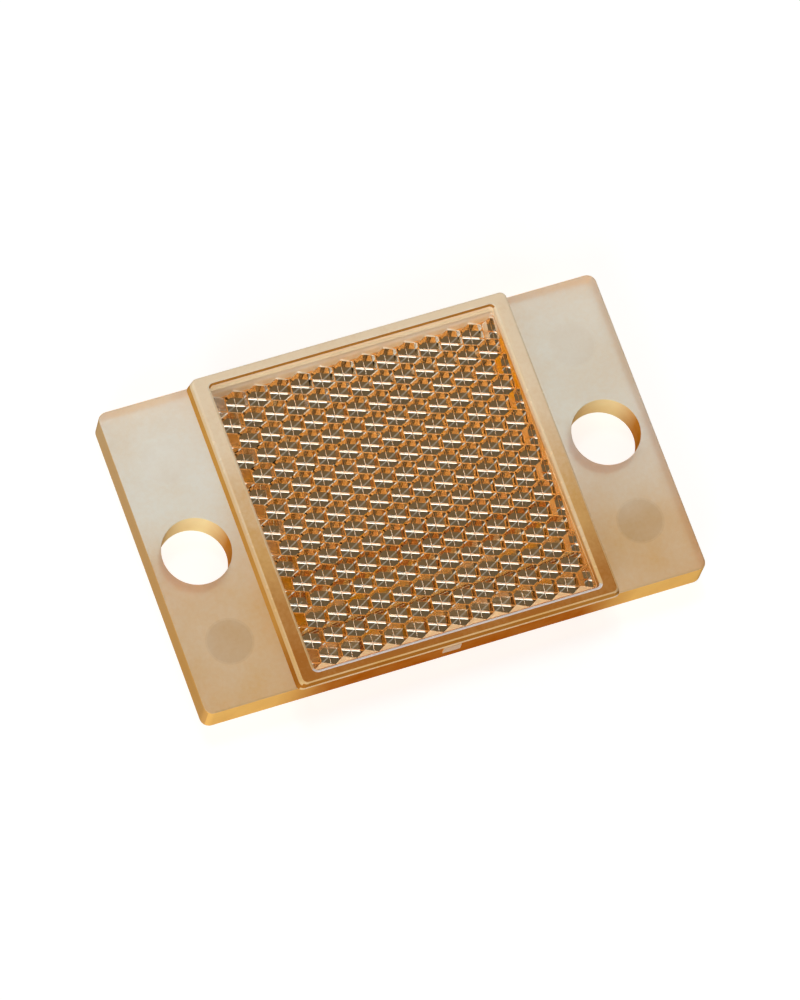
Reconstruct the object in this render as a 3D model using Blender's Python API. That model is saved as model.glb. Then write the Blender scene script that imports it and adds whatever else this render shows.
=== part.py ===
"""Screw-on prismatic reflector: a flanged base plate, a raised front frame and a prism lens.

The plate lies on the ground plane with its long side along X. The lens rests on the land
round the plate's pocket, so that its corner cubes hang in the air of the pocket, and the
frame sits on the same land and holds the lens by its edge.
"""
import math

import bmesh
import bpy
from mathutils import Vector

MM = 0.001

# Base plate
PLATE_LENGTH = 50.0
PLATE_WIDTH = 31.2
PLATE_THICKNESS = 3.4
PLATE_CORNER_RADIUS = 0.9
PLATE_EDGE_ROUND = 0.2
FLANGE_LENGTH = 9.25
HOLE_DIAMETER = 6.6
HOLE_FROM_END = 4.5
HOLE_SIDES = 48
POCKET_FLOOR = 0.8
POCKET_CORNER_RADIUS = 0.4

# Marks that the mould leaves on the plate
PIN_MARK_DIAMETER = 5.0
PIN_MARK_DEPTH = 0.08
PIN_MARK_FROM_SIDE = 6.3
PIN_MARK_SIDES = 32
GATE_LENGTH = 1.8
GATE_HEIGHT = 1.3
GATE_STAND = 0.12
GATE_SHIFT = -0.6
GATE_BELOW_TOP = 0.5

# Front frame, which stands a little over the plate's long sides
FRAME_OVERHANG = 0.2
RIM_ENDS = 1.55
RIM_SIDES = 1.05
FRAME_RISE = 1.5
RECESS_DEPTH = 0.9
FOOT_FLARE = 0.35
FRAME_CORNER_RADIUS = 0.6
FRAME_EDGE_ROUND = 0.2
WINDOW_CORNER_RADIUS = 0.35

# Prism lens, with the lip that the frame covers and the plug that hangs in the pocket
LIP_ENDS = 0.7
LIP_SIDES = 0.35
LENS_CORNER_RADIUS = 0.3
WINDOW_THICKNESS = 1.2
PRISM_PITCH = 2.153
PLUG_INSET_SIDES = 0.35
FIELD_INSET = 0.05
POCKET_CLEARANCE = 0.2
EDGE_CLEARANCE = 0.15

# Overshoot of a cutter past the face that it opens, and the arcs' fineness
CUT_OVER = 0.5
CORNER_SEGMENTS = 5
EDGE_SEGMENTS = 2

# Heights that follow from the sizes above
PLATE_TOP = PLATE_THICKNESS
FRAME_TOP = PLATE_TOP + FRAME_RISE
LENS_FRONT = FRAME_TOP - RECESS_DEPTH
LENS_BACK = LENS_FRONT - WINDOW_THICKNESS

# Outlines that follow from the sizes above
HOLE_X = PLATE_LENGTH / 2 - HOLE_FROM_END
PIN_MARK_Y = PLATE_WIDTH / 2 - PIN_MARK_FROM_SIDE
FRAME_LENGTH = PLATE_LENGTH - 2 * FLANGE_LENGTH
FRAME_WIDTH = PLATE_WIDTH + 2 * FRAME_OVERHANG
WINDOW_LENGTH = FRAME_LENGTH - 2 * RIM_ENDS
WINDOW_WIDTH = FRAME_WIDTH - 2 * RIM_SIDES
LENS_LENGTH = WINDOW_LENGTH + 2 * LIP_ENDS
LENS_WIDTH = WINDOW_WIDTH + 2 * LIP_SIDES
PLUG_LENGTH = WINDOW_LENGTH
PLUG_WIDTH = WINDOW_WIDTH - 2 * PLUG_INSET_SIDES
POCKET_LENGTH = PLUG_LENGTH + 2 * POCKET_CLEARANCE
POCKET_WIDTH = PLUG_WIDTH + 2 * POCKET_CLEARANCE

# Corner cubes: hexagonal cells in rows along X, each a cube that stands on its corner
FIELD_END = PLUG_LENGTH / 2 - FIELD_INSET
FIELD_SIDE = PLUG_WIDTH / 2 - FIELD_INSET
ROW_STEP = PRISM_PITCH * math.sqrt(3) / 2
CELL_RADIUS = PRISM_PITCH / math.sqrt(3)
CUBE_STEP = PRISM_PITCH / math.sqrt(6)


def clear_scene():
    """Remove every object and mesh that the scene holds."""
    for item in list(bpy.data.objects):
        bpy.data.objects.remove(item, do_unlink=True)
    for mesh in list(bpy.data.meshes):
        bpy.data.meshes.remove(mesh)


def plastic(name, colour, roughness, transmission):
    """Make an amber acrylic material."""
    material = bpy.data.materials.new(name)
    material.use_nodes = True
    shader = material.node_tree.nodes["Principled BSDF"]
    shader.inputs["Base Color"].default_value = (*colour, 1.0)
    shader.inputs["Roughness"].default_value = roughness
    shader.inputs["Metallic"].default_value = 0.0
    shader.inputs["IOR"].default_value = 1.49
    shader.inputs["Transmission Weight"].default_value = transmission
    return material


def add_object(name, bm, material=None):
    """Turn a mesh written in millimetres into a named object in metres."""
    bmesh.ops.scale(bm, vec=Vector((MM, MM, MM)), verts=bm.verts)
    bmesh.ops.recalc_face_normals(bm, faces=bm.faces)
    mesh = bpy.data.meshes.new(name)
    bm.to_mesh(mesh)
    bm.free()
    item = bpy.data.objects.new(name, mesh)
    bpy.context.collection.objects.link(item)
    if material is not None:
        mesh.materials.append(material)
    return item


def block(length, width, bottom, top, corner_radius):
    """Make an upright block, centred in X and Y, with its four upright edges rounded."""
    bm = bmesh.new()
    bmesh.ops.create_cube(bm, size=1.0)
    bmesh.ops.scale(bm, vec=Vector((length, width, top - bottom)), verts=bm.verts)
    bmesh.ops.translate(bm, vec=Vector((0, 0, (top + bottom) / 2)), verts=bm.verts)
    upright = [edge for edge in bm.edges if is_upright(edge)]
    bmesh.ops.bevel(bm, geom=upright, offset=corner_radius, segments=CORNER_SEGMENTS,
                    profile=0.5, affect="EDGES", material=-1)
    return bm


def is_upright(edge):
    """Tell whether an edge runs along Z."""
    start, end = (vert.co for vert in edge.verts)
    return abs(start.z - end.z) > 0.5 * edge.calc_length()


def edges_at(bm, height):
    """List the edges that lie in the level plane at a height."""
    near = 1e-4
    return [edge for edge in bm.edges
            if all(abs(vert.co.z - height) < near for vert in edge.verts)]


def round_edges(bm, height, radius):
    """Round the edges that lie in the level plane at a height."""
    bmesh.ops.bevel(bm, geom=edges_at(bm, height), offset=radius, segments=EDGE_SEGMENTS,
                    profile=0.5, affect="EDGES", material=-1)


def cylinder(diameter, bottom, top, sides, x, y):
    """Make an upright cylinder at a place in the plate."""
    bm = bmesh.new()
    bmesh.ops.create_cone(bm, cap_ends=True, segments=sides, radius1=diameter / 2,
                          radius2=diameter / 2, depth=top - bottom)
    bmesh.ops.translate(bm, vec=Vector((x, y, (top + bottom) / 2)), verts=bm.verts)
    return bm


def combine(target, name, bm, operation):
    """Cut a helper shape out of an object, or join it on."""
    helper = add_object(name, bm)
    helper.hide_render = True
    helper.display_type = "WIRE"
    step = target.modifiers.new(name, "BOOLEAN")
    step.operation = operation
    step.solver = "EXACT"
    step.object = helper


def base_plate(material):
    """Make the flanged plate with its pocket, screw holes and mould marks."""
    bm = block(PLATE_LENGTH, PLATE_WIDTH, 0.0, PLATE_TOP, PLATE_CORNER_RADIUS)
    round_edges(bm, PLATE_TOP, PLATE_EDGE_ROUND)
    round_edges(bm, 0.0, PLATE_EDGE_ROUND)
    plate = add_object("base_plate", bm, material)
    pocket = block(POCKET_LENGTH, POCKET_WIDTH, POCKET_FLOOR, PLATE_TOP + CUT_OVER,
                   POCKET_CORNER_RADIUS)
    combine(plate, "pocket_cutter", pocket, "DIFFERENCE")
    for side in (-1, 1):
        x = side * HOLE_X
        hole = cylinder(HOLE_DIAMETER, -CUT_OVER, PLATE_TOP + CUT_OVER, HOLE_SIDES, x, 0.0)
        combine(plate, "hole_cutter", hole, "DIFFERENCE")
        for end in (-1, 1):
            mark = cylinder(PIN_MARK_DIAMETER, PLATE_TOP - PIN_MARK_DEPTH, PLATE_TOP + CUT_OVER,
                            PIN_MARK_SIDES, x, end * PIN_MARK_Y)
            combine(plate, "pin_mark_cutter", mark, "DIFFERENCE")
    combine(plate, "gate_scar", gate_scar(), "UNION")
    return plate


def gate_scar():
    """Make the low pad on the plate's front side where the moulding was cut from its gate."""
    depth = GATE_STAND + CUT_OVER
    bm = bmesh.new()
    bmesh.ops.create_cube(bm, size=1.0)
    bmesh.ops.scale(bm, vec=Vector((GATE_LENGTH, depth, GATE_HEIGHT)), verts=bm.verts)
    place = Vector((GATE_SHIFT, -PLATE_WIDTH / 2 - GATE_STAND + depth / 2,
                    PLATE_TOP - GATE_BELOW_TOP - GATE_HEIGHT / 2))
    bmesh.ops.translate(bm, vec=place, verts=bm.verts)
    return bm


def front_frame(material):
    """Make the raised frame, flared at its foot, with its window and the rebate for the lens."""
    bm = block(FRAME_LENGTH, FRAME_WIDTH, PLATE_TOP, FRAME_TOP, FRAME_CORNER_RADIUS)
    flare = (FRAME_LENGTH + 2 * FOOT_FLARE) / FRAME_LENGTH
    foot = [vert for vert in bm.verts if vert.co.z < PLATE_TOP + FRAME_RISE / 2]
    bmesh.ops.scale(bm, vec=Vector((flare, 1.0, 1.0)), verts=foot)
    round_edges(bm, FRAME_TOP, FRAME_EDGE_ROUND)
    frame = add_object("front_frame", bm, material)
    window = block(WINDOW_LENGTH, WINDOW_WIDTH, PLATE_TOP - CUT_OVER, FRAME_TOP + CUT_OVER,
                   WINDOW_CORNER_RADIUS)
    combine(frame, "window_cutter", window, "DIFFERENCE")
    rebate = block(LENS_LENGTH + 2 * EDGE_CLEARANCE, LENS_WIDTH + 2 * EDGE_CLEARANCE,
                   PLATE_TOP - CUT_OVER, LENS_FRONT, LENS_CORNER_RADIUS)
    combine(frame, "rebate_cutter", rebate, "DIFFERENCE")
    return frame


def steps_within(first, step, reach):
    """List the distances from the middle, first and then step by step, up to a reach."""
    distances = [first]
    while distances[-1] + step <= reach:
        distances.append(distances[-1] + step)
    return distances


def cell_centres():
    """Yield the centres of as many rows of cubes as fit, out past the ends of the field."""
    for row, y in enumerate(steps_within(0.0, ROW_STEP, FIELD_SIDE - CELL_RADIUS)):
        first = PRISM_PITCH / 2 if row % 2 else 0.0
        for x in steps_within(first, PRISM_PITCH, FIELD_END + PRISM_PITCH):
            yield from {(x, y), (-x, y), (x, -y), (-x, -y)}


def corner_cubes():
    """Make the open sheet of corner cubes: three square faces round each apex."""
    bm = bmesh.new()
    apex_height = LENS_BACK - 2 * CUBE_STEP
    for x, y in cell_centres():
        centre = Vector((x, y, apex_height))
        apex = bm.verts.new(centre)
        ring = []
        for corner in range(6):
            angle = math.radians(30 + 60 * corner)
            rise = CUBE_STEP * (2 - corner % 2)
            ring.append(bm.verts.new(centre + Vector((CELL_RADIUS * math.cos(angle),
                                                      CELL_RADIUS * math.sin(angle), rise))))
        for corner in (0, 2, 4):
            bm.faces.new((apex, ring[corner - 1], ring[corner], ring[corner + 1]))
    bmesh.ops.remove_doubles(bm, verts=bm.verts, dist=0.01)
    for side in (-1, 1):
        geometry = bm.verts[:] + bm.edges[:] + bm.faces[:]
        bmesh.ops.bisect_plane(bm, geom=geometry, dist=1e-5,
                               plane_co=Vector((side * FIELD_END, 0, 0)),
                               plane_no=Vector((side, 0, 0)), clear_outer=True)
    return bm


def prism_block():
    """Close the sheet of corner cubes into a block whose back reaches into the window."""
    bm = corner_cubes()
    rim = [edge for edge in bm.edges if edge.is_boundary]
    walls = bmesh.ops.extrude_edge_only(bm, edges=rim)["geom"]
    roof_edges = [item for item in walls if isinstance(item, bmesh.types.BMEdge)]
    for vert in {vert for edge in roof_edges for vert in edge.verts}:
        vert.co.z = LENS_BACK + WINDOW_THICKNESS / 4
    bmesh.ops.contextual_create(bm, geom=roof_edges)
    return bm


def prism_lens(material):
    """Make the lens: an edge that rests on the plate, a plug in its pocket and the prisms."""
    bm = block(LENS_LENGTH, LENS_WIDTH, PLATE_TOP, LENS_FRONT, LENS_CORNER_RADIUS)
    lens = add_object("prism_lens", bm, material)
    plug = block(PLUG_LENGTH, PLUG_WIDTH, LENS_BACK, (PLATE_TOP + LENS_FRONT) / 2,
                 LENS_CORNER_RADIUS)
    combine(lens, "plug", plug, "UNION")
    combine(lens, "prisms", prism_block(), "UNION")
    return lens


def main():
    """Build the three mouldings."""
    clear_scene()
    base_plate(plastic("frosted_amber_plate", (0.66, 0.52, 0.36), 0.45, 0.6))
    front_frame(plastic("frosted_amber_frame", (0.66, 0.50, 0.32), 0.4, 0.6))
    prism_lens(plastic("clear_amber_lens", (0.80, 0.45, 0.16), 0.03, 1.0))


main()
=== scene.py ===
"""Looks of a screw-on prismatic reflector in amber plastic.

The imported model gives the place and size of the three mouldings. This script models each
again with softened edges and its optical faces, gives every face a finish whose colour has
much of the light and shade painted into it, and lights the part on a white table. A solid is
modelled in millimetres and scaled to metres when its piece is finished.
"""

import logging
import math
from abc import ABC, abstractmethod
from collections.abc import Callable, Iterable, Iterator
from dataclasses import dataclass, field
from enum import Enum
from functools import cached_property

import bmesh
import bpy
from mathutils import Matrix, Vector


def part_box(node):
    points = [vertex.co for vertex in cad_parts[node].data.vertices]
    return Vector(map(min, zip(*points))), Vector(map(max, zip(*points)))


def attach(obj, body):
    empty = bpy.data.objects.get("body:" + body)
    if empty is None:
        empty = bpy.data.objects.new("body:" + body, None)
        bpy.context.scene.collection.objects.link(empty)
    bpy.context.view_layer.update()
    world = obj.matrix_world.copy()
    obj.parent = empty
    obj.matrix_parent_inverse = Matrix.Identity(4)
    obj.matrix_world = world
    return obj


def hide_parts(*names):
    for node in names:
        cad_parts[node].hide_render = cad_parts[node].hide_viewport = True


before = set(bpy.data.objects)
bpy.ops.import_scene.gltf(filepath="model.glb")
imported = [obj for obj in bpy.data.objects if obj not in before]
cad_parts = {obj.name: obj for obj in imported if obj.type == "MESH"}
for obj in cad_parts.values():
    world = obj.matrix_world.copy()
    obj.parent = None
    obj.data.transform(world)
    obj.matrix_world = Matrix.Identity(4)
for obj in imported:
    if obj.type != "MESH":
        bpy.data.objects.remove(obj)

LOG = logging.getLogger("reflector")
MM = 0.001
PHOTO_WIDTH_PX = 800

BMesh = bmesh.types.BMesh
BMEdge = bmesh.types.BMEdge
BMFace = bmesh.types.BMFace
Socket = bpy.types.NodeSocket
Colour = tuple[float, float, float]
WHITE: Colour = (1.0, 1.0, 1.0)

# Lengths in millimetres: the gap between touching pieces, how far a cutter goes past an open
# face, and the distances within which two places count as one
SEAM = 0.01
OVERSHOOT = 1.0
NEAR = 0.01
TOUCH = 1e-3
MERGE = 1e-4
ON_PLANE = 1e-5

# Shares of a unit normal along an axis, by which one kind of face is told from another
SLIGHT = 0.1
LEANING = 0.2
HALF = 0.5
MOSTLY = 0.72
NEARLY_LEVEL = 0.95
LEVEL = 0.99
ALIKE = 0.05

# Steps of a rounded upright corner, a rounded edge and a whole turn
CORNER_STEPS = 8
EDGE_STEPS = 4
TURN_STEPS = 72
SHARP_ANGLE = 35.0

# Noise: the range that its values fill, its finer layers, the grains in a speckle, and the
# share by which the roughness varies with the grain
NOISE_RANGE = (0.3, 0.7)
GRAIN_DETAIL = 2.0
MOTTLE_DETAIL = 3.0
SPECKLE_GRAINS = 3
GLOSS_SPREAD = 0.15


class Face(Enum):
    """Kinds of face that a moulding can have, each with a finish of its own."""

    FROSTED = "frosted face"
    SIDE = "polished side"
    END = "polished end"
    # Rounded edges carry a painted highlight; the window's edge a painted glint towards the lamps
    # and a dark line of painted shade away from them
    EDGE = "rounded edge"
    GLINT = "window edge towards the lamps"
    SEAM = "window edge away from the lamps"
    POCKET = "pocket floor"
    # The pocket wall and land on the back half are pale as painted light
    LAND = "pocket wall and land"
    MARK = "pin mark"
    MARK_RIM = "slope round a pin mark"
    BORE = "bore wall"
    CLEAR = "clear face"
    MARGIN = "flat margin before the first row of prisms"


class Fade(Enum):
    """Directions in which a finish fades from one colour to another, mostly as painted light and
    shade.
    """

    ACROSS = "from front to back"
    ALONG = "from the middle to both ends"


class Join(Enum):
    """Ways to combine two solids."""

    ADD = "UNION"
    CUT = "DIFFERENCE"


def in_mm(node: str) -> tuple[Vector, Vector]:
    """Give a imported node's lowest and highest corners in millimetres.

    Args:
        node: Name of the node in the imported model.

    Returns:
        The lowest and the highest corner.
    """
    low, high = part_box(node)
    return low / MM, high / MM


def upright(edge: BMEdge) -> bool:
    """Tell whether an edge runs mostly along Z."""
    return abs((edge.verts[0].co - edge.verts[1].co).z) > HALF * edge.calc_length()


def lies_at(edge: BMEdge, height: float) -> bool:
    """Tell whether an edge lies in the level plane at a height."""
    return all(abs(vert.co.z - height) < TOUCH for vert in edge.verts)


def soften(bm: BMesh, wanted: Callable[[BMEdge], bool], radius: float,
           segments: int = EDGE_STEPS) -> None:
    """Round the edges that a test picks.

    Args:
        bm: Mesh to change.
        wanted: Test that says whether an edge is rounded.
        radius: Radius of the rounding.
        segments: Steps of the rounding.
    """
    edges = [edge for edge in bm.edges if wanted(edge)]
    bmesh.ops.bevel(bm, geom=edges, offset=radius, segments=segments, profile=0.5,
                    affect="EDGES", material=-1)


def block(length: float, width: float, bottom: float, top: float, corner: float,
          segments: int = CORNER_STEPS) -> BMesh:
    """Make an upright block centred in X and Y with rounded upright edges.

    Args:
        length: Size along X.
        width: Size along Y.
        bottom: Height of the lower face.
        top: Height of the upper face.
        corner: Radius of the upright edges.
        segments: Steps of each rounded edge.

    Returns:
        The block as a new bmesh.
    """
    bm = bmesh.new()
    bmesh.ops.create_cube(bm, size=1.0)
    bmesh.ops.scale(bm, vec=Vector((length, width, top - bottom)), verts=bm.verts)
    bmesh.ops.translate(bm, vec=Vector((0, 0, (top + bottom) / 2)), verts=bm.verts)
    soften(bm, upright, corner, segments)
    return bm


def score(bm: BMesh, place: Vector, normal: Vector, clear_outer: bool = False) -> None:
    """Divide a mesh along a plane, so that a finish can change there, or end it there.

    Args:
        bm: Mesh to change.
        place: Point in the plane.
        normal: Direction at right angles to the plane.
        clear_outer: Whether what lies beyond the plane is taken away.
    """
    geometry = bm.verts[:] + bm.edges[:] + bm.faces[:]
    bmesh.ops.bisect_plane(bm, geom=geometry, dist=ON_PLANE, plane_co=place,
                           plane_no=normal, clear_outer=clear_outer)


def turned(radius: float, bottom: float, top: float, lip: float, x: float) -> BMesh:
    """Turn an upright cylinder whose two ends flare out in a quarter circle.

    Args:
        radius: Radius of the straight part.
        bottom: Height where the lower flare ends.
        top: Height where the upper flare ends.
        lip: Radius of the flare; the cutter overshoots each end by the same amount.
        x: Place of its axis along X; it stands in the middle of the width.

    Returns:
        The turned solid as a new bmesh.
    """
    bm = bmesh.new()
    arc = [math.radians(90 * step / EDGE_STEPS) for step in range(EDGE_STEPS + 1)]
    low = [(radius + lip * (1 - math.sin(a)), bottom + lip * (1 - math.cos(a))) for a in arc]
    high = [(r, top + bottom - z) for r, z in reversed(low)]
    ends = [(0.0, bottom - lip), (radius + lip, bottom - lip)]
    outline = ends + low + high + [(radius + lip, top + lip), (0.0, top + lip)]
    verts = [bm.verts.new((x + r, 0, z)) for r, z in outline]
    edges = [bm.edges.new(pair) for pair in zip(verts, verts[1:])]
    bmesh.ops.spin(bm, geom=verts + edges, cent=(x, 0, 0), axis=(0, 0, 1), dvec=(0, 0, 0),
                   angle=math.tau, steps=TURN_STEPS, use_merge=True)
    bmesh.ops.remove_doubles(bm, verts=bm.verts, dist=MERGE)
    bmesh.ops.recalc_face_normals(bm, faces=bm.faces)
    return bm


def as_object(name: str, bm: BMesh) -> bpy.types.Object:
    """Put a bmesh into a new object of the scene.

    Args:
        name: Name of the object and its mesh.
        bm: Mesh to put there; it is used up.

    Returns:
        The new object.
    """
    mesh = bpy.data.meshes.new(name)
    bm.to_mesh(mesh)
    bm.free()
    item = bpy.data.objects.new(name, mesh)
    bpy.context.collection.objects.link(item)
    return item


def taken(item: bpy.types.Object) -> BMesh:
    """Take an object out of the scene and keep its mesh.

    Args:
        item: Object to take; it is removed.

    Returns:
        The object's mesh with its modifiers applied.
    """
    bm = bmesh.new()
    bm.from_object(item, bpy.context.evaluated_depsgraph_get())
    mesh = item.data
    bpy.data.objects.remove(item)
    bpy.data.meshes.remove(mesh)
    return bm


def combine(base: BMesh, tools: Iterable[tuple[BMesh, Join]]) -> BMesh:
    """Cut solids out of a solid, or add them to it, one after the other.

    Args:
        base: Solid to start from; it is used up.
        tools: Solids with the way in which each is combined; they are used up.

    Returns:
        The combined solid as a new bmesh.
    """
    target = as_object("combine_base", base)
    helpers = []
    for tool, way in tools:
        helper = as_object("combine_tool", tool)
        step = target.modifiers.new("step", "BOOLEAN")
        step.operation = way.value
        step.solver = "EXACT"
        step.object = helper
        helpers.append(helper)
    result = taken(target)
    for helper in helpers:
        taken(helper).free()
    bmesh.ops.remove_doubles(result, verts=result.verts, dist=MERGE)
    bmesh.ops.dissolve_degenerate(result, edges=result.edges, dist=MERGE)
    return result


class MaterialNodes:
    """Nodes of one new material, with the steps that the finishes share."""

    def __init__(self, name: str) -> None:
        """Start from a plain shader.

        Args:
            name: Name of the material.
        """
        self.material = bpy.data.materials.new(name)
        self.material.use_nodes = True
        self.nodes = self.material.node_tree.nodes
        self.links = self.material.node_tree.links
        self.shader = self.nodes["Principled BSDF"]

    @cached_property
    def place(self) -> Socket:
        """Give the coordinates in the piece's own mesh."""
        return self.nodes.new("ShaderNodeTexCoord").outputs["Object"]

    @cached_property
    def ray(self) -> bpy.types.NodeOutputs:
        """Give the outputs that tell one kind of light ray from another."""
        return self.nodes.new("ShaderNodeLightPath").outputs

    def fix(self, constants: dict[str, float | tuple[float, ...]]) -> None:
        """Set sockets of the shader that are the same all over the surface.

        Args:
            constants: Value of each socket by its name.
        """
        for socket, value in constants.items():
            self.shader.inputs[socket].default_value = value

    def vary(self, socket: str, value: Socket) -> None:
        """Link a value that varies over the surface to a socket of the shader."""
        self.links.new(value, self.shader.inputs[socket])

    def reckon(self, operation: str, *values: Socket | float) -> Socket:
        """Work out a value from others.

        Args:
            operation: Name of what is done with them.
            values: Outputs of other nodes, or constants.

        Returns:
            The result.
        """
        step = self.nodes.new("ShaderNodeMath")
        step.operation = operation
        for value, entry in zip(values, step.inputs):
            if isinstance(value, Socket):
                self.links.new(value, entry)
            else:
                entry.default_value = value
        return step.outputs[0]

    def noise(self, grain_mm: float, detail: float) -> Socket:
        """Add a noise texture whose lumps have a real size.

        Args:
            grain_mm: Size of the lumps.
            detail: Number of finer layers.

        Returns:
            The noise's value output.
        """
        texture = self.nodes.new("ShaderNodeTexNoise")
        texture.inputs["Scale"].default_value = 1.0 / (grain_mm * MM)
        texture.inputs["Detail"].default_value = detail
        self.links.new(self.place, texture.inputs["Vector"])
        return texture.outputs["Fac"]

    def ranged(self, value: Socket, given: tuple[float, float],
               wanted: tuple[float, float]) -> Socket:
        """Map a value from one range to another.

        Args:
            value: Value to map.
            given: Lowest and highest value that comes in.
            wanted: Lowest and highest value that goes out.

        Returns:
            The mapped value.
        """
        step = self.nodes.new("ShaderNodeMapRange")
        step.inputs["From Min"].default_value, step.inputs["From Max"].default_value = given
        step.inputs["To Min"].default_value, step.inputs["To Max"].default_value = wanted
        self.links.new(value, step.inputs["Value"])
        return step.outputs["Result"]

    def bump(self, height: Socket, height_mm: float) -> Socket:
        """Raise the surface by a height.

        Args:
            height: Height as a share.
            height_mm: Height at a share of 1.

        Returns:
            The bumped normal.
        """
        bump = self.nodes.new("ShaderNodeBump")
        bump.inputs["Strength"].default_value = 1.0
        bump.inputs["Distance"].default_value = height_mm * MM
        self.links.new(height, bump.inputs["Height"])
        return bump.outputs["Normal"]

    def let_lamps_through(self, shade: Colour) -> None:
        """Make the surface cast a tinted shadow in place of a solid one.

        Args:
            shade: Tint of the light that passes.
        """
        clear = self.nodes.new("ShaderNodeBsdfTransparent")
        clear.inputs["Color"].default_value = (*shade, 1.0)
        mix = self.nodes.new("ShaderNodeMixShader")
        self.links.new(self.ray["Is Shadow Ray"], mix.inputs[0])
        self.links.new(self.shader.outputs[0], mix.inputs[1])
        self.links.new(clear.outputs[0], mix.inputs[2])
        self.links.new(mix.outputs[0], self.nodes["Material Output"].inputs["Surface"])


@dataclass(frozen=True)
class Moulded:
    """Amber plastic, frosted or polished, whose fading colour paints light and shade over it.

    Attributes:
        name: Name of the material.
        first_colour: Colour where the fade starts.
        second_colour: Colour where the fade ends.
        roughness: Middle of the roughness.
        clearness: Share of the light that goes through.
        grain_mm: Size of the grain.
        grain_height_mm: Height of the grain.
        sheen: Strength of the gloss.
        fade: Direction of the fade.
        fade_mm: Where the fade starts and ends.
        fade_slant: How far a fade across the piece leans with X.
        mottle_mm: Size of the soft mottle.
        mottle_share: How far the mottle shifts the fade, as a share of its length.
        speckle_share: How far the fine speckle shifts it.
        refraction: Index of refraction.
        lamp_shade: Tint of the light in the shadow.
        middle_colour: Colour that the fade passes through, if it has one.
        middle_place: Where it passes through it, as a share of its length.
    """

    name: str
    first_colour: Colour
    second_colour: Colour
    roughness: float
    clearness: float = 0.0
    grain_mm: float = 0.6
    grain_height_mm: float = 0.003
    sheen: float = 0.3
    fade: Fade = Fade.ACROSS
    fade_mm: tuple[float, float] = (-15.6, 15.6)
    fade_slant: float = 0.12
    mottle_mm: float = 5.0
    mottle_share: float = 0.2
    speckle_share: float = 0.05
    refraction: float = 1.5
    lamp_shade: Colour = (0.80, 0.79, 0.76)
    middle_colour: Colour | None = None
    middle_place: float = 0.45

    def make(self) -> bpy.types.Material:
        """Build the node material.

        Returns:
            The new material.
        """
        surface = MaterialNodes(self.name)
        surface.fix({"IOR": self.refraction, "Specular IOR Level": self.sheen,
                     "Transmission Weight": self.clearness})
        surface.vary("Base Color", self._painted_light_and_mottle(surface))
        grain = surface.noise(self.grain_mm, GRAIN_DETAIL)
        spread = self.roughness * GLOSS_SPREAD
        gloss = (self.roughness - spread, self.roughness + spread)
        surface.vary("Roughness", surface.ranged(grain, NOISE_RANGE, gloss))
        surface.vary("Normal", surface.bump(grain, self.grain_height_mm))
        surface.let_lamps_through(self.lamp_shade)
        return surface.material

    def _painted_light_and_mottle(self, surface: MaterialNodes) -> Socket:
        """Paint light and shade as a fade of two colours, with a soft mottle and speckle on top.

        Args:
            surface: Nodes to add to.

        Returns:
            The colour.
        """
        first, second = self.fade_mm
        total = surface.ranged(self._way(surface), (first * MM, second * MM), (0.0, 1.0))
        speckle_mm = self.grain_mm * SPECKLE_GRAINS
        for size, share in ((self.mottle_mm, self.mottle_share), (speckle_mm, self.speckle_share)):
            lumps = surface.noise(size, MOTTLE_DETAIL)
            shift = surface.ranged(lumps, NOISE_RANGE, (-share, share))
            total = surface.reckon("ADD", total, shift)
        if self.middle_colour is not None:
            return self._three_colours(surface, total)
        tint = surface.nodes.new("ShaderNodeMix")
        tint.data_type = "RGBA"
        tint.clamp_factor = False
        tint.inputs["A"].default_value = (*self.first_colour, 1.0)
        tint.inputs["B"].default_value = (*self.second_colour, 1.0)
        surface.links.new(total, tint.inputs["Factor"])
        return tint.outputs["Result"]

    def _three_colours(self, surface: MaterialNodes, total: Socket) -> Socket:
        """Fade over the middle colour as well.

        Args:
            surface: Nodes to add to.
            total: How far the fade has come, as a share.

        Returns:
            The colour.
        """
        ramp = surface.nodes.new("ShaderNodeValToRGB")
        stops = ramp.color_ramp.elements
        stops[0].color = (*self.first_colour, 1.0)
        stops[1].color = (*self.second_colour, 1.0)
        stops.new(self.middle_place).color = (*self.middle_colour, 1.0)
        surface.links.new(total, ramp.inputs["Fac"])
        return ramp.outputs["Color"]

    def _way(self, surface: MaterialNodes) -> Socket:
        """Measure how far a point lies along the direction of the fade.

        Args:
            surface: Nodes to add to.

        Returns:
            The distance in metres.
        """
        split = surface.nodes.new("ShaderNodeSeparateXYZ")
        surface.links.new(surface.place, split.inputs[0])
        along, across = split.outputs["X"], split.outputs["Y"]
        if self.fade is Fade.ALONG:
            return surface.reckon("ABSOLUTE", along)
        return surface.reckon("MULTIPLY_ADD", along, self.fade_slant, across)


@dataclass(frozen=True)
class ClearLens:
    """Polished see-through plastic that bends light and lets lamps shine through it."""

    name: str
    colour: Colour
    lamp_shade: Colour
    refraction: float = 1.6
    roughness: float = 0.0

    def make(self) -> bpy.types.Material:
        """Build the node material.

        Returns:
            The new material.
        """
        surface = MaterialNodes(self.name)
        surface.fix({"Base Color": (*self.colour, 1.0), "Roughness": self.roughness,
                     "IOR": self.refraction, "Transmission Weight": 1.0})
        surface.let_lamps_through(self.lamp_shade)
        return surface.material


Finish = Moulded | ClearLens

# Where the painted sheen on the flange and its pin marks runs from amber at the front to pale at
# the back
FLANGE_FADE = (-7.0, 2.0)
END_FADE = (-12.0, 12.0)
FROST_GRAIN = 0.12
DULL_GRAIN = 0.3
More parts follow.
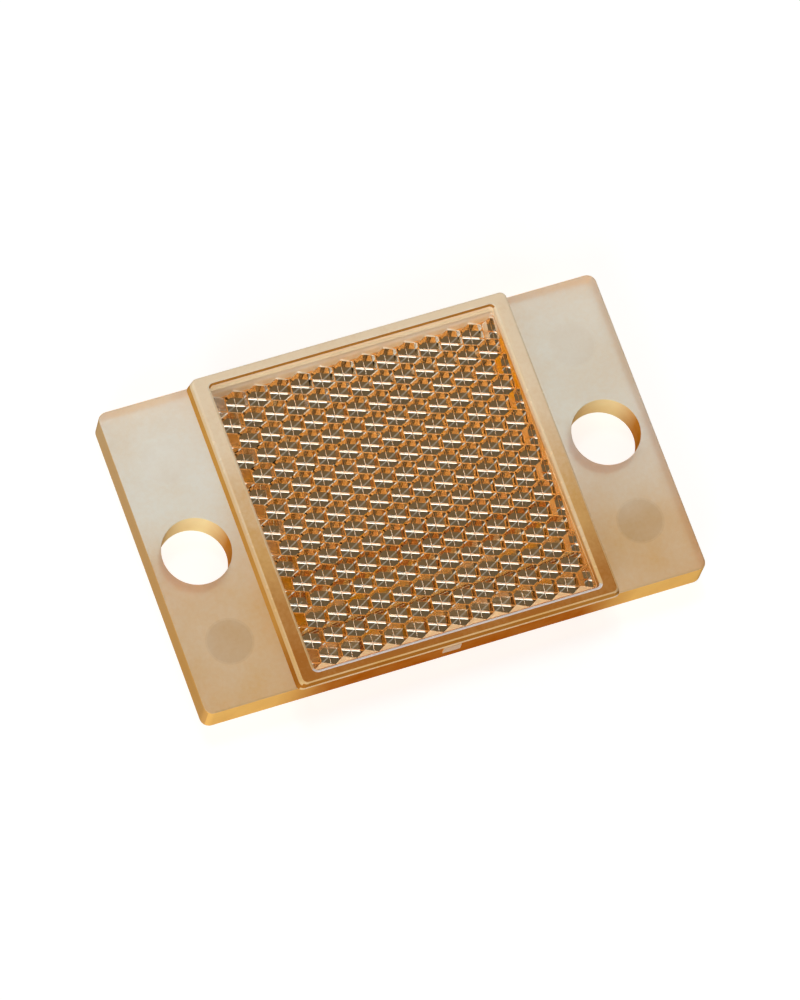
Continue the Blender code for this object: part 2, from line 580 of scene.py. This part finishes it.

# Finishes of the base plate
# Frosted flange face: its pale back is a painted sheen of the back lamps
FROSTED_PLATE_PAINTED_SHEEN = Moulded(
    "frosted_plate_painted_sheen", (0.69, 0.51, 0.29), (0.77, 0.75, 0.67), roughness=0.42,
    clearness=0.45, grain_mm=FROST_GRAIN, fade_mm=FLANGE_FADE, speckle_share=0.09)
MARK_PLATE = Moulded(
    "pin_mark_face", (0.575, 0.415, 0.228), (0.75, 0.72, 0.64), roughness=0.40,
    clearness=0.45, grain_mm=FROST_GRAIN, fade_mm=FLANGE_FADE)
MARK_RIM_PLATE = Moulded(
    "pin_mark_slope", (0.63, 0.462, 0.259), (0.76, 0.735, 0.655), roughness=0.41,
    clearness=0.45, grain_mm=FROST_GRAIN, fade_mm=FLANGE_FADE, speckle_share=0.09)
# Plate side: painted shade, deep orange in the middle under the frame, and painted light, bright
# amber under the flanges
SIDE_PLATE_PAINTED_LIGHT_AND_SHADE = Moulded(
    "plate_side_painted_light_and_shade", (0.50, 0.142, 0.014), (1.0, 0.58, 0.16), roughness=0.12,
    sheen=0.0, fade=Fade.ALONG, fade_mm=(12.5, 18.0), mottle_share=0.05)
END_PLATE = Moulded(
    "amber_plate_end", (0.74, 0.40, 0.12), (0.76, 0.50, 0.24), roughness=0.12,
    sheen=0.0, fade_mm=END_FADE, mottle_share=0.05)
# Bore wall: painted light, bright on the back part that faces the front lamps, amber on its front
# part
BORE_PLATE_PAINTED_LIGHT = Moulded(
    "bore_wall_painted_light", (0.66, 0.28, 0.05), (1.0, 0.84, 0.45), roughness=0.20,
    grain_height_mm=0.002, sheen=0.0, fade_mm=(0.3, 2.7), fade_slant=0.0, mottle_share=0.05)
POCKET_PLATE = Moulded(
    "amber_pocket_floor", (0.55, 0.255, 0.065), (0.59, 0.285, 0.08), roughness=0.35,
    clearness=0.20, grain_mm=DULL_GRAIN, sheen=0.05)
# Pocket wall and land on the back half: pale bluish grey as painted light
LAND_PLATE_PAINTED_LIGHT = Moulded(
    "pocket_wall_painted_light", (0.62, 0.60, 0.56), (0.66, 0.69, 0.78), roughness=0.35,
    clearness=0.25, grain_mm=DULL_GRAIN, sheen=0.1)

# Finishes of the front frame
# Frosted rim: dark amber at the front, pale at the back, a painted sheen of the back lamps
FROSTED_FRAME_PAINTED_SHEEN = Moulded(
    "frosted_frame_painted_sheen", (0.475, 0.175, 0.029), (0.95, 0.79, 0.57), roughness=0.34,
    clearness=0.05, grain_mm=FROST_GRAIN, grain_height_mm=0.002, sheen=0.015,
    fade_mm=(-15.2, 9.0), mottle_share=0.08, middle_colour=(0.73, 0.43, 0.15))
SIDE_FRAME = Moulded(
    "amber_frame_side", (0.48, 0.18, 0.025), (0.70, 0.36, 0.08), roughness=0.12,
    sheen=0.0, fade_mm=(-15.6, -11.0), mottle_share=0.1)
END_FRAME = Moulded(
    "pale_frame_end", (0.88, 0.60, 0.27), (0.93, 0.74, 0.45), roughness=0.12,
    clearness=0.05, sheen=0.01, fade_mm=END_FADE, mottle_share=0.1)
# Painted highlight on the rounded edges and on the strip at the frame's foot
PAINTED_HIGHLIGHT_FRAME = Moulded(
    "frame_edge_painted_highlight", (0.86, 0.58, 0.26), (0.95, 0.84, 0.64), roughness=0.25,
    clearness=0.10, grain_height_mm=0.002, sheen=0.08)
# Painted glint on the window's edge that faces the lamps
PAINTED_GLINT_FRAME = Moulded(
    "window_edge_painted_glint", (0.86, 0.84, 0.82), (0.86, 0.84, 0.82), roughness=0.25,
    clearness=0.10, grain_height_mm=0.002, sheen=0.4)
# Painted shade: a dark line on the window's edge that faces away from the lamps
PAINTED_SHADE_FRAME = Moulded(
    "window_edge_painted_shade", (0.42, 0.18, 0.03), (0.42, 0.18, 0.03), roughness=0.25,
    clearness=0.10, grain_height_mm=0.002, sheen=0.05)

# Finishes of the lens
# Plug walls: amber, turning pale grey at the back wall as a painted glint between the back row of
# prisms
SIDE_LENS_PAINTED_GLINT = Moulded(
    "amber_lens_side_painted_glint", (0.74, 0.38, 0.10), (0.76, 0.74, 0.76), roughness=0.35,
    clearness=0.1, grain_mm=DULL_GRAIN, sheen=0.05, fade_mm=(12.0, 13.2), fade_slant=0.0)
# Front margin: pale as painted light from the window's front edge
MARGIN_LENS_PAINTED_LIGHT = Moulded(
    "lens_margin_painted_light", (0.95, 0.80, 0.62), (0.95, 0.80, 0.62), roughness=0.35,
    clearness=0.1, grain_mm=DULL_GRAIN, sheen=0.05)
CLEAR_LENS = ClearLens("clear_amber_lens", (1.0, 0.93, 0.78), (1.0, 0.90, 0.70))


@dataclass
class Moulding(ABC):
    """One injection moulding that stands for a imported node, with its sizes in millimetres."""

    node: str
    slot: str
    finishes: dict[Face, Finish]

    @abstractmethod
    def solid(self) -> BMesh:
        """Model the solid in millimetres."""

    @abstractmethod
    def finish_of(self, face: BMFace) -> Face:
        """Choose the finish of a face."""

    def build(self) -> bpy.types.Object:
        """Model the piece, dress its faces and let it stand for its node.

        Returns:
            The finished object.
        """
        bm = self.solid()
        bmesh.ops.recalc_face_normals(bm, faces=bm.faces)
        order = list(self.finishes)
        for face in bm.faces:
            face.material_index = order.index(self.finish_of(face))
            face.smooth = True
        bmesh.ops.scale(bm, vec=Vector((MM, MM, MM)), verts=bm.verts)
        piece = as_object(f"{self.node}_moulding", bm)
        for finish in self.finishes.values():
            piece.data.materials.append(finish.make())
        self.shade(piece)
        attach(piece, "root")
        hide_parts(self.node)
        LOG.info("%s: %d faces", piece.name, len(piece.data.polygons))
        return piece

    def shade(self, piece: bpy.types.Object) -> None:
        """Keep flat faces flat and round edges smooth.

        Args:
            piece: The finished piece in metres.
        """
        piece.data.set_sharp_from_angle(angle=math.radians(SHARP_ANGLE))
        weigh = piece.modifiers.new("weigh_normals", "WEIGHTED_NORMAL")
        weigh.keep_sharp = True


@dataclass
class BasePlate(Moulding):
    """Flanged plate with two screw holes, a pocket behind the lens and the mould's marks."""

    node: str = "base_plate"
    slot: str = "frosted_plate"
    finishes: dict[Face, Finish] = field(default_factory=lambda: {
        Face.FROSTED: FROSTED_PLATE_PAINTED_SHEEN, Face.SIDE: SIDE_PLATE_PAINTED_LIGHT_AND_SHADE, Face.END: END_PLATE,
        Face.POCKET: POCKET_PLATE, Face.LAND: LAND_PLATE_PAINTED_LIGHT, Face.MARK: MARK_PLATE,
        Face.MARK_RIM: MARK_RIM_PLATE, Face.BORE: BORE_PLATE_PAINTED_LIGHT})
    corner: float = 0.9
    edge: float = 0.2
    flange: float = 9.0
    hole_diameter: float = 6.6
    hole_from_end: float = 4.5
    hole_lip: float = 0.08
    pocket_length: float = 28.8
    pocket_width: float = 29.2
    pocket_floor: float = 0.8
    pocket_corner: float = 0.4
    mark_diameter: float = 5.0
    mark_from_side: float = 6.3
    mark_depth: float = 0.04
    mark_slope: float = 5.0
    mark_steps: int = 64
    gate_length: float = 1.8
    gate_height: float = 1.3
    gate_shift: float = -0.6
    gate_below_top: float = 0.5
    gate_stand: float = 0.12
    gate_sunk: float = 0.5
    gate_edge: float = 0.05
    half_length: float = field(init=False)
    half_width: float = field(init=False)
    top: float = field(init=False)

    def __post_init__(self) -> None:
        """Read the plate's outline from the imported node."""
        _, high = in_mm(self.node)
        self.half_length, self.half_width, self.top = high

    def solid(self) -> BMesh:
        """Model the plate with its holes, pocket, pin marks and gate scar.

        Returns:
            The plate as a new bmesh.
        """
        plate = block(2 * self.half_length, 2 * self.half_width, 0.0, self.top, self.corner)
        soften(plate, lambda edge: lies_at(edge, self.top) or lies_at(edge, 0.0), self.edge)
        pocket = block(self.pocket_length, self.pocket_width, self.pocket_floor,
                       self.top + OVERSHOOT, self.pocket_corner)
        tools = [(pocket, Join.CUT)]
        for side in (-1, 1):
            flange_line = Vector((side * (self.half_length - self.flange), 0, 0))
            score(plate, flange_line, Vector((1, 0, 0)))
            x = side * (self.half_length - self.hole_from_end)
            hole = turned(self.hole_diameter / 2, 0.0, self.top, self.hole_lip, x)
            tools.append((hole, Join.CUT))
            for end in (-1, 1):
                y = end * (self.half_width - self.mark_from_side)
                tools.append((self._pin_mark(x, y), Join.CUT))
        tools.append((self._gate_scar(), Join.ADD))
        return combine(plate, tools)

    def _pin_mark(self, x: float, y: float) -> BMesh:
        """Shape the shallow dish that an ejector pin leaves in the flange.

        Args:
            x: Place of its middle along X.
            y: Place of its middle along Y.

        Returns:
            The cutter, half of which stands over the flange.
        """
        depth = 2 * self.mark_depth
        radius = self.mark_diameter / 2
        bm = bmesh.new()
        bmesh.ops.create_cone(bm, cap_ends=True, segments=self.mark_steps, depth=depth,
                              radius1=radius - self.mark_slope * depth, radius2=radius)
        bmesh.ops.translate(bm, vec=Vector((x, y, self.top)), verts=bm.verts)
        return bm

    def _gate_scar(self) -> BMesh:
        """Shape the low pad on the front side where the moulding was cut from its gate.

        Returns:
            The pad, which reaches into the plate.
        """
        size = Vector((self.gate_length, self.gate_stand + self.gate_sunk, self.gate_height))
        place = Vector((self.gate_shift, -self.half_width + (self.gate_sunk - self.gate_stand) / 2,
                        self.top - self.gate_below_top - self.gate_height / 2))
        bm = bmesh.new()
        bmesh.ops.create_cube(bm, size=1.0)
        bmesh.ops.scale(bm, vec=size, verts=bm.verts)
        bmesh.ops.translate(bm, vec=place, verts=bm.verts)
        soften(bm, lambda edge: True, self.gate_edge, segments=2)
        return bm

    def finish_of(self, face: BMFace) -> Face:
        """Tell the pocket, the pin marks, the bores and the broad faces from the sides.

        Args:
            face: Face of the plate.

        Returns:
            The kind of face.
        """
        centre = face.calc_center_median()
        rise = face.normal.z
        middle = (abs(centre.x) < self.half_length - self.flange
                  and abs(centre.y) < self.half_width - self.edge)
        if middle and centre.z > self.pocket_floor - NEAR:
            # Painted light: the pocket wall that faces the front and the land on the back half are
            # pale
            pale = centre.y > 0 and (face.normal.y < -HALF or rise > MOSTLY)
            return Face.LAND if pale and centre.z > self.pocket_floor + NEAR else Face.POCKET
        from_axis = abs(centre.x) - self.half_length + self.hole_from_end
        sunk = self.top - self.mark_depth - NEAR < centre.z < self.top - TOUCH
        if rise > LEANING and sunk and abs(from_axis) < self.mark_diameter / 2:
            return Face.MARK if rise > LEVEL else Face.MARK_RIM
        from_hole = math.hypot(from_axis, centre.y)
        if abs(rise) < MOSTLY and from_hole < self.hole_diameter / 2 + self.hole_lip + NEAR:
            return Face.BORE
        scar = centre.y < -self.half_width - self.gate_stand + NEAR
        if abs(rise) > MOSTLY or scar:
            return Face.FROSTED
        return Face.END if abs(face.normal.x) > MOSTLY else Face.SIDE


@dataclass
class FrontFrame(Moulding):
    """Raised frame, flared at its foot, round the recessed window."""

    node: str = "front_frame"
    slot: str = "frosted_frame"
    finishes: dict[Face, Finish] = field(default_factory=lambda: {
        Face.FROSTED: FROSTED_FRAME_PAINTED_SHEEN, Face.SIDE: SIDE_FRAME, Face.END: END_FRAME,
        Face.EDGE: PAINTED_HIGHLIGHT_FRAME, Face.GLINT: PAINTED_GLINT_FRAME, Face.SEAM: PAINTED_SHADE_FRAME})
    rim_ends: float = 1.55
    rim_sides: float = 1.05
    flare: float = 0.35
    corner: float = 0.6
    edge: float = 0.22
    foot: float = 0.4
    end_foot: float = 0.85
    window_corner: float = 0.35
    window_edge: float = 0.30
    rebate_length: float = 30.1
    rebate_width: float = 30.5
    rebate_corner: float = 0.3
    recess: float = 0.9
    bottom: float = field(init=False)
    top: float = field(init=False)
    half_width: float = field(init=False)
    half_foot: float = field(init=False)
    half_length: float = field(init=False)
    window_x: float = field(init=False)
    window_y: float = field(init=False)

    def __post_init__(self) -> None:
        """Read the frame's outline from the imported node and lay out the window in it."""
        low, high = in_mm(self.node)
        self.bottom, self.top = low.z + SEAM, high.z
        self.half_width = high.y
        self.half_foot = high.x
        self.half_length = high.x - self.flare
        self.window_x = self.half_length - self.rim_ends
        self.window_y = self.half_width - self.rim_sides

    def solid(self) -> BMesh:
        """Model the frame with its window and the rebate over the lens.

        Returns:
            The frame as a new bmesh.
        """
        outer = block(2 * self.half_length, 2 * self.half_width, self.bottom, self.top, self.corner)
        foot = [vert for vert in outer.verts if vert.co.z < (self.bottom + self.top) / 2]
        grow = Vector((self.half_foot / self.half_length, 1.0, 1.0))
        bmesh.ops.scale(outer, vec=grow, verts=foot)
        soften(outer, lambda edge: lies_at(edge, self.top), self.edge)
        for height in (self.foot, self.end_foot):
            score(outer, Vector((0, 0, self.bottom + height)), Vector((0, 0, 1)))
        window = block(2 * self.window_x, 2 * self.window_y, self.bottom - OVERSHOOT,
                       self.top + OVERSHOOT, self.window_corner)
        rebate = block(self.rebate_length, self.rebate_width, self.bottom - OVERSHOOT,
                       self.top - self.recess, self.rebate_corner)
        bm = combine(outer, [(window, Join.CUT), (rebate, Join.CUT)])
        soften(bm, self._on_mouth, self.window_edge, segments=3)
        return bm

    def _on_mouth(self, edge: BMEdge) -> bool:
        """Tell whether an edge lies on the window's outline in the frame's top.

        Args:
            edge: Edge of the frame.

        Returns:
            Whether it lies there.
        """
        reach_x, reach_y = self.window_x + TOUCH, self.window_y + TOUCH
        inside = all(abs(v.co.x) < reach_x and abs(v.co.y) < reach_y for v in edge.verts)
        return inside and lies_at(edge, self.top)

    def finish_of(self, face: BMFace) -> Face:
        """Tell the rim's top and recess from its edges and its outer sides.

        Args:
            face: Face of the frame.

        Returns:
            The kind of face.
        """
        centre = face.calc_center_median()
        rise = face.normal.z
        inner = (abs(centre.x) < self.window_x + self.window_edge
                 and abs(centre.y) < self.window_y + self.window_edge)
        # The window's bevel gets painted light: a highlight on its sides and upper far face, a
        # glint on the faces towards the lamps and painted shade on those away from them
        if inner and SLIGHT < rise < LEVEL:
            far_top = face.normal.y < 0 and rise > MOSTLY
            if abs(face.normal.y) < SLIGHT or far_top:
                return Face.EDGE
            return Face.GLINT if face.normal.y > 0 else Face.SEAM
        if inner or rise > NEARLY_LEVEL:
            return Face.FROSTED
        # The outer rounded top edge and the strip at the frame's foot get a painted highlight
        if rise > LEANING and centre.z > self.top - self.edge:
            return Face.EDGE
        height = centre.z - self.bottom
        if abs(face.normal.x) > MOSTLY:
            return Face.SIDE if height < self.end_foot else Face.END
        return Face.EDGE if height < self.foot else Face.SIDE


@dataclass
class PrismLens(Moulding):
    """Window whose back is a field of corner cubes, each a cube that stands on its corner."""

    node: str = "prism_lens"
    slot: str = "clear_lens"
    finishes: dict[Face, Finish] = field(default_factory=lambda: {
        Face.CLEAR: CLEAR_LENS, Face.SIDE: SIDE_LENS_PAINTED_GLINT, Face.MARGIN: MARGIN_LENS_PAINTED_LIGHT})
    pitch: float = 2.153
    thickness: float = 1.2
    plug_length: float = 28.7
    plug_width: float = 28.8
    corner: float = 0.3
    edge: float = 0.1
    field_inset: float = 0.05
    broad_land: float = 0.22
    fine_land: float = 0.045
    ridge_land: float = 0.13
    land_turn: float = -30.0
    facet_bow: float = -4.0
    length: float = field(init=False)
    width: float = field(init=False)
    front: float = field(init=False)
    apex: float = field(init=False)
    back: float = field(init=False)
    seat: float = field(init=False)
    field_x: float = field(init=False)
    field_y: float = field(init=False)

    def __post_init__(self) -> None:
        """Read the lens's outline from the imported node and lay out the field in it."""
        low, high = in_mm(self.node)
        self.length, self.width = 2 * high.x, 2 * high.y
        self.front, self.apex = high.z, low.z
        self.back = self.front - self.thickness
        self.seat = in_mm("base_plate")[1].z + SEAM
        self.field_x = self.plug_length / 2 - self.field_inset
        self.field_y = self.plug_width / 2 - self.field_inset

    def solid(self) -> BMesh:
        """Model the lip, the plug and the field of corner cubes as one solid.

        Returns:
            The lens as a new bmesh.
        """
        lip = block(self.length, self.width, self.seat, self.front, self.corner, EDGE_STEPS)
        soften(lip, lambda edge: lies_at(edge, self.front), self.edge, segments=3)
        inside_lip = (self.seat + self.front) / 2
        plug = block(self.plug_length, self.plug_width, self.back, inside_lip, self.corner,
                     EDGE_STEPS)
        score(plug, Vector(), Vector((0, 1, 0)))
        return combine(lip, [(plug, Join.ADD), (self._field(), Join.ADD)])

    def _cell(self) -> BMesh:
        """Shape one corner cube: the three lower faces of a cube that stands on its corner.

        Returns:
            The open cell, with its corner at the origin and one of its edges towards +Y.
        """
        bm = bmesh.new()
        size = self.pitch / math.sqrt(2)
        bmesh.ops.create_cube(bm, size=size)
        bmesh.ops.translate(bm, vec=Vector((size / 2,) * 3), verts=bm.verts)
        stand = Vector((1, 1, 1)).rotation_difference(Vector((0, 0, 1))).to_matrix()
        bmesh.ops.rotate(bm, cent=Vector(), matrix=stand, verts=bm.verts)
        top = max(bm.verts, key=lambda vert: vert.co.z)
        bmesh.ops.delete(bm, geom=[top], context="VERTS")
        low = [vert for vert in bm.verts if vert.co.z < size]
        edge = max(low, key=lambda vert: vert.co.xy.length)
        angle = math.pi / 2 - math.atan2(edge.co.y, edge.co.x)
        bmesh.ops.rotate(bm, cent=Vector(), matrix=Matrix.Rotation(angle, 3, "Z"), verts=bm.verts)
        return bm

    def _places(self) -> Iterator[Vector]:
        """Lay out the cells in staggered rows that reach past the ends of the field.

        Yields:
            The place of each cell's corner.
        """
        row_step = self.pitch * math.sqrt(3) / 2
        rows = int((self.field_y - self.pitch / math.sqrt(3)) / row_step)
        columns = int(self.field_x / self.pitch) + 1
        for row in range(-rows, rows + 1):
            odd = row % 2
            for column in range(-columns - odd, columns + 1):
                yield Vector(((column + odd / 2) * self.pitch, row * row_step, 0))

    def _field(self) -> BMesh:
        """Repeat the cell over the window, ease its edges and close it towards the plug.

        Returns:
            The field as a closed bmesh that reaches into the plug.
        """
        bm = self._cell()
        cell = bm.faces[:]
        for place in self._places():
            if place.length > 0:
                copy = bmesh.ops.duplicate(bm, geom=cell)["geom"]
                verts = [item for item in copy if isinstance(item, bmesh.types.BMVert)]
                bmesh.ops.translate(bm, vec=place, verts=verts)
        bmesh.ops.remove_doubles(bm, verts=bm.verts, dist=NEAR)
        bmesh.ops.translate(bm, vec=Vector((0, 0, self.apex)), verts=bm.verts)
        bm = self._eased(bm)
        for side in (-1, 1):
            end = Vector((side * self.field_x, 0, 0))
            score(bm, end, Vector((side, 0, 0)), clear_outer=True)
        rim = [edge for edge in bm.edges if edge.is_boundary]
        walls = bmesh.ops.extrude_edge_only(bm, edges=rim)["geom"]
        roof = [item for item in walls if isinstance(item, BMEdge)]
        inside_plug = self.back + self.thickness / 4
        for vert in {vert for edge in roof for vert in edge.verts}:
            vert.co.z = inside_plug
        bmesh.ops.contextual_create(bm, geom=roof)
        return bm

    def _eased(self, bm: BMesh) -> BMesh:
        """Give the cube edges the narrow lands that the mould leaves, broadest on one of the three.

        Args:
            bm: Open field of sharp cells; it is used up.

        Returns:
            The eased field as a new bmesh.
        """
        near = self.pitch / 10
        weight = bm.edges.layers.float.new("bevel_weight_edge")
        for edge in bm.edges:
            if edge.is_boundary:
                continue
            start, end = sorted((vert.co for vert in edge.verts), key=lambda place: place.z)
            land = self.ridge_land
            if start.z < self.apex + near:
                land = self.broad_land if (end - start).x > near else self.fine_land
            edge[weight] = land / self.broad_land
        item = as_object("eased_field", bm)
        lands = item.modifiers.new("lands", "BEVEL")
        lands.limit_method = "WEIGHT"
        lands.width = self.broad_land / 2
        lands.segments = 1
        return taken(item)

    def finish_of(self, face: BMFace) -> Face:
        """Tell the plug's dull walls and its front margin from the polished faces.

        Args:
            face: Face of the lens.

        Returns:
            The kind of face.
        """
        centre = face.calc_center_median()
        # The front margin gets a pale painted light
        if face.normal.z < -LEVEL and centre.y < 0 and abs(centre.z - self.back) < NEAR:
            return Face.MARGIN
        wall = abs(face.normal.z) < SLIGHT and centre.z < self.seat
        return Face.SIDE if wall else Face.CLEAR

    def shade(self, piece: bpy.types.Object) -> None:
        """Keep faces flat, but bow the two facets beside each broad land a little out of square.

        Args:
            piece: The finished lens in metres.
        """
        # The broad land runs along the hinge, an edge of a cube that stands on its corner,
        # and every facet of the cube leans by the same share
        turn = math.radians(self.land_turn)
        hinge = Vector((math.cos(turn), math.sin(turn), math.sqrt(0.5))).normalized()
        facet_rise = -1 / math.sqrt(3)
        cube = self.pitch * MM / math.sqrt(2)
        normals = []
        for face in piece.data.polygons:
            corners = [piece.data.vertices[index].co for index in face.vertices]
            if abs(face.normal.z - facet_rise) > ALIKE or abs(face.normal.dot(hinge)) > ALIKE:
                normals.extend(face.normal.copy() for _ in corners)
                continue
            apex = min(corners, key=lambda corner: corner.z)
            side = math.copysign(1.0, face.normal.cross(hinge).z)
            bow = side * math.radians(self.facet_bow / 2)
            for corner in corners:
                away = (corner - apex) - (corner - apex).project(hinge)
                lean = Matrix.Rotation(bow * away.length / cube, 3, hinge)
                normals.append(lean @ face.normal)
        piece.data.normals_split_custom_set(normals)


def towards(azimuth: float, elevation: float) -> Vector:
    """Give the direction from the part to a place round it, azimuth 0 being the front.

    Args:
        azimuth: Angle round the upright axis in degrees.
        elevation: Angle above the table in degrees.

    Returns:
        The direction with length 1.
    """
    a, e = math.radians(azimuth), math.radians(elevation)
    return Vector((math.sin(a) * math.cos(e), -math.cos(a) * math.cos(e), math.sin(e)))


@dataclass(frozen=True)
class Softbox:
    """Square lamp that shines at the part from a direction, in degrees, metres and watts."""

    name: str
    azimuth: float
    elevation: float
    size: float
    power: float
    tint: Colour = WHITE
    distance: float = 0.8

    def build(self) -> bpy.types.Object:
        """Hang the lamp and aim it at the part.

        Returns:
            The lamp.
        """
        lamp = bpy.data.lights.new(self.name, "AREA")
        lamp.shape = "SQUARE"
        lamp.size = self.size
        lamp.energy = self.power
        lamp.color = self.tint
        item = bpy.data.objects.new(self.name, lamp)
        bpy.context.collection.objects.link(item)
        way = towards(self.azimuth, self.elevation)
        item.location = way * self.distance
        item.rotation_euler = way.to_track_quat("Z", "Y").to_euler()
        return item


@dataclass
class Studio:
    """White table, soft lamps, dim room and the camera at the photograph's angle.

    The softboxes light the frosted faces. The cards stand round the camera, where the corner
    cubes send what they show: warm ones for the bright parts of a cell and dim ones for its dark
    parts. Lengths are in metres and angles in degrees, unless a name says otherwise.
    """

    lamps: tuple[Softbox, ...] = (
        Softbox("key_softbox", 178.0, 60.0, 0.15, 1.7),
        Softbox("white_card", 159.0, 67.4, 0.10, 0.09),
        Softbox("back_softbox", 150.0, 35.0, 0.5, 1.5),
        Softbox("left_fill", -81.0, 67.4, 0.16, 0.06),
        Softbox("right_fill", 39.0, 67.4, 0.12, 0.18),
        Softbox("front_fill", -40.0, 22.0, 0.5, 4.6),
        Softbox("high_warm_card", -46.5, 79.6, 0.14, 0.0250, tint=(1.0, 0.46, 0.13)),
        Softbox("high_dim_card", -41.5, 71.4, 0.090, 0.0023, tint=(1.0, 0.52, 0.12)),
        Softbox("low_warm_card", -36.3, 55.2, 0.16, 0.0265, tint=(1.0, 0.46, 0.13)),
        Softbox("low_dim_card", -38.0, 63.6, 0.080, 0.0011, tint=(1.0, 0.58, 0.18)),
    )
    room_colour: Colour = (0.080, 0.064, 0.045)
    table_colour: Colour = (0.55, 0.55, 0.55)
    table_roughness: float = 0.8
    table_glow: float = 0.65
    table_size: float = 1.2
    table_gap: float = 0.02 * MM
    camera_azimuth: float = -38.97
    camera_elevation: float = 67.43
    camera_roll: float = 20.52
    camera_distance: float = 0.7246
    camera_aim: Vector = field(default_factory=lambda: Vector((0.295, 0.282, 0.168)) * MM)
    camera_range: tuple[float, float] = (0.01, 10.0)
    focal_px: float = 7734.5
    sensor_mm: float = 36.0

    def build(self) -> None:
        """Set the table, the room, the lamps and the camera."""
        self._table()
        self._room()
        for lamp in self.lamps:
            lamp.build()
        self._camera()
        bpy.context.scene.view_settings.view_transform = "Standard"

    def _table(self) -> None:
        """Lay a white table that keeps the part's shadow."""
        bm = bmesh.new()
        bmesh.ops.create_grid(bm, x_segments=1, y_segments=1, size=self.table_size / 2)
        bmesh.ops.translate(bm, vec=Vector((0, 0, -self.table_gap)), verts=bm.verts)
        table = as_object("table", bm)
        surface = MaterialNodes("white_table")
        surface.fix({"Base Color": (*self.table_colour, 1.0), "Roughness": self.table_roughness,
                     "Specular IOR Level": 0.0, "Emission Color": (*WHITE, 1.0)})
        seen = surface.ray["Is Camera Ray"]
        for kind in ("Is Glossy Ray", "Is Transmission Ray"):
            seen = surface.reckon("MAXIMUM", seen, surface.ray[kind])
        surface.vary("Emission Strength", surface.reckon("MULTIPLY", seen, self.table_glow))
        table.data.materials.append(surface.material)

    def _room(self) -> None:
        """Make the room dim for the part and white for the camera."""
        world = bpy.data.worlds.new("room")
        world.use_nodes = True
        nodes, links = world.node_tree.nodes, world.node_tree.links
        path = nodes.new("ShaderNodeLightPath")
        colour = nodes.new("ShaderNodeMix")
        colour.data_type = "RGBA"
        colour.inputs["A"].default_value = (*self.room_colour, 1.0)
        colour.inputs["B"].default_value = (*WHITE, 1.0)
        links.new(path.outputs["Is Camera Ray"], colour.inputs["Factor"])
        links.new(colour.outputs["Result"], nodes["Background"].inputs["Color"])
        bpy.context.scene.world = world

    def _camera(self) -> None:
        """Place the camera at the photograph's angle, turn and distance."""
        camera = bpy.data.cameras.new("photo_camera")
        camera.sensor_fit = "HORIZONTAL"
        camera.sensor_width = self.sensor_mm
        camera.lens = self.focal_px * self.sensor_mm / PHOTO_WIDTH_PX
        camera.clip_start, camera.clip_end = self.camera_range
        item = bpy.data.objects.new("photo_camera", camera)
        bpy.context.collection.objects.link(item)
        way = towards(self.camera_azimuth, self.camera_elevation)
        level = way.to_track_quat("Z", "Y").to_matrix()
        roll = Matrix.Rotation(math.radians(self.camera_roll), 3, "Z")
        place = Matrix.Translation(self.camera_aim + way * self.camera_distance)
        item.matrix_world = place @ (level @ roll).to_4x4()
        bpy.context.scene.camera = item


def main() -> None:
    """Build the pieces in order, then the studio."""
    logging.basicConfig(level=logging.INFO, format="%(message)s")
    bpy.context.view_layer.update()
    for piece in (BasePlate(), FrontFrame(), PrismLens()):
        piece.build()
    Studio().build()


if __name__ == "__main__":
    main()
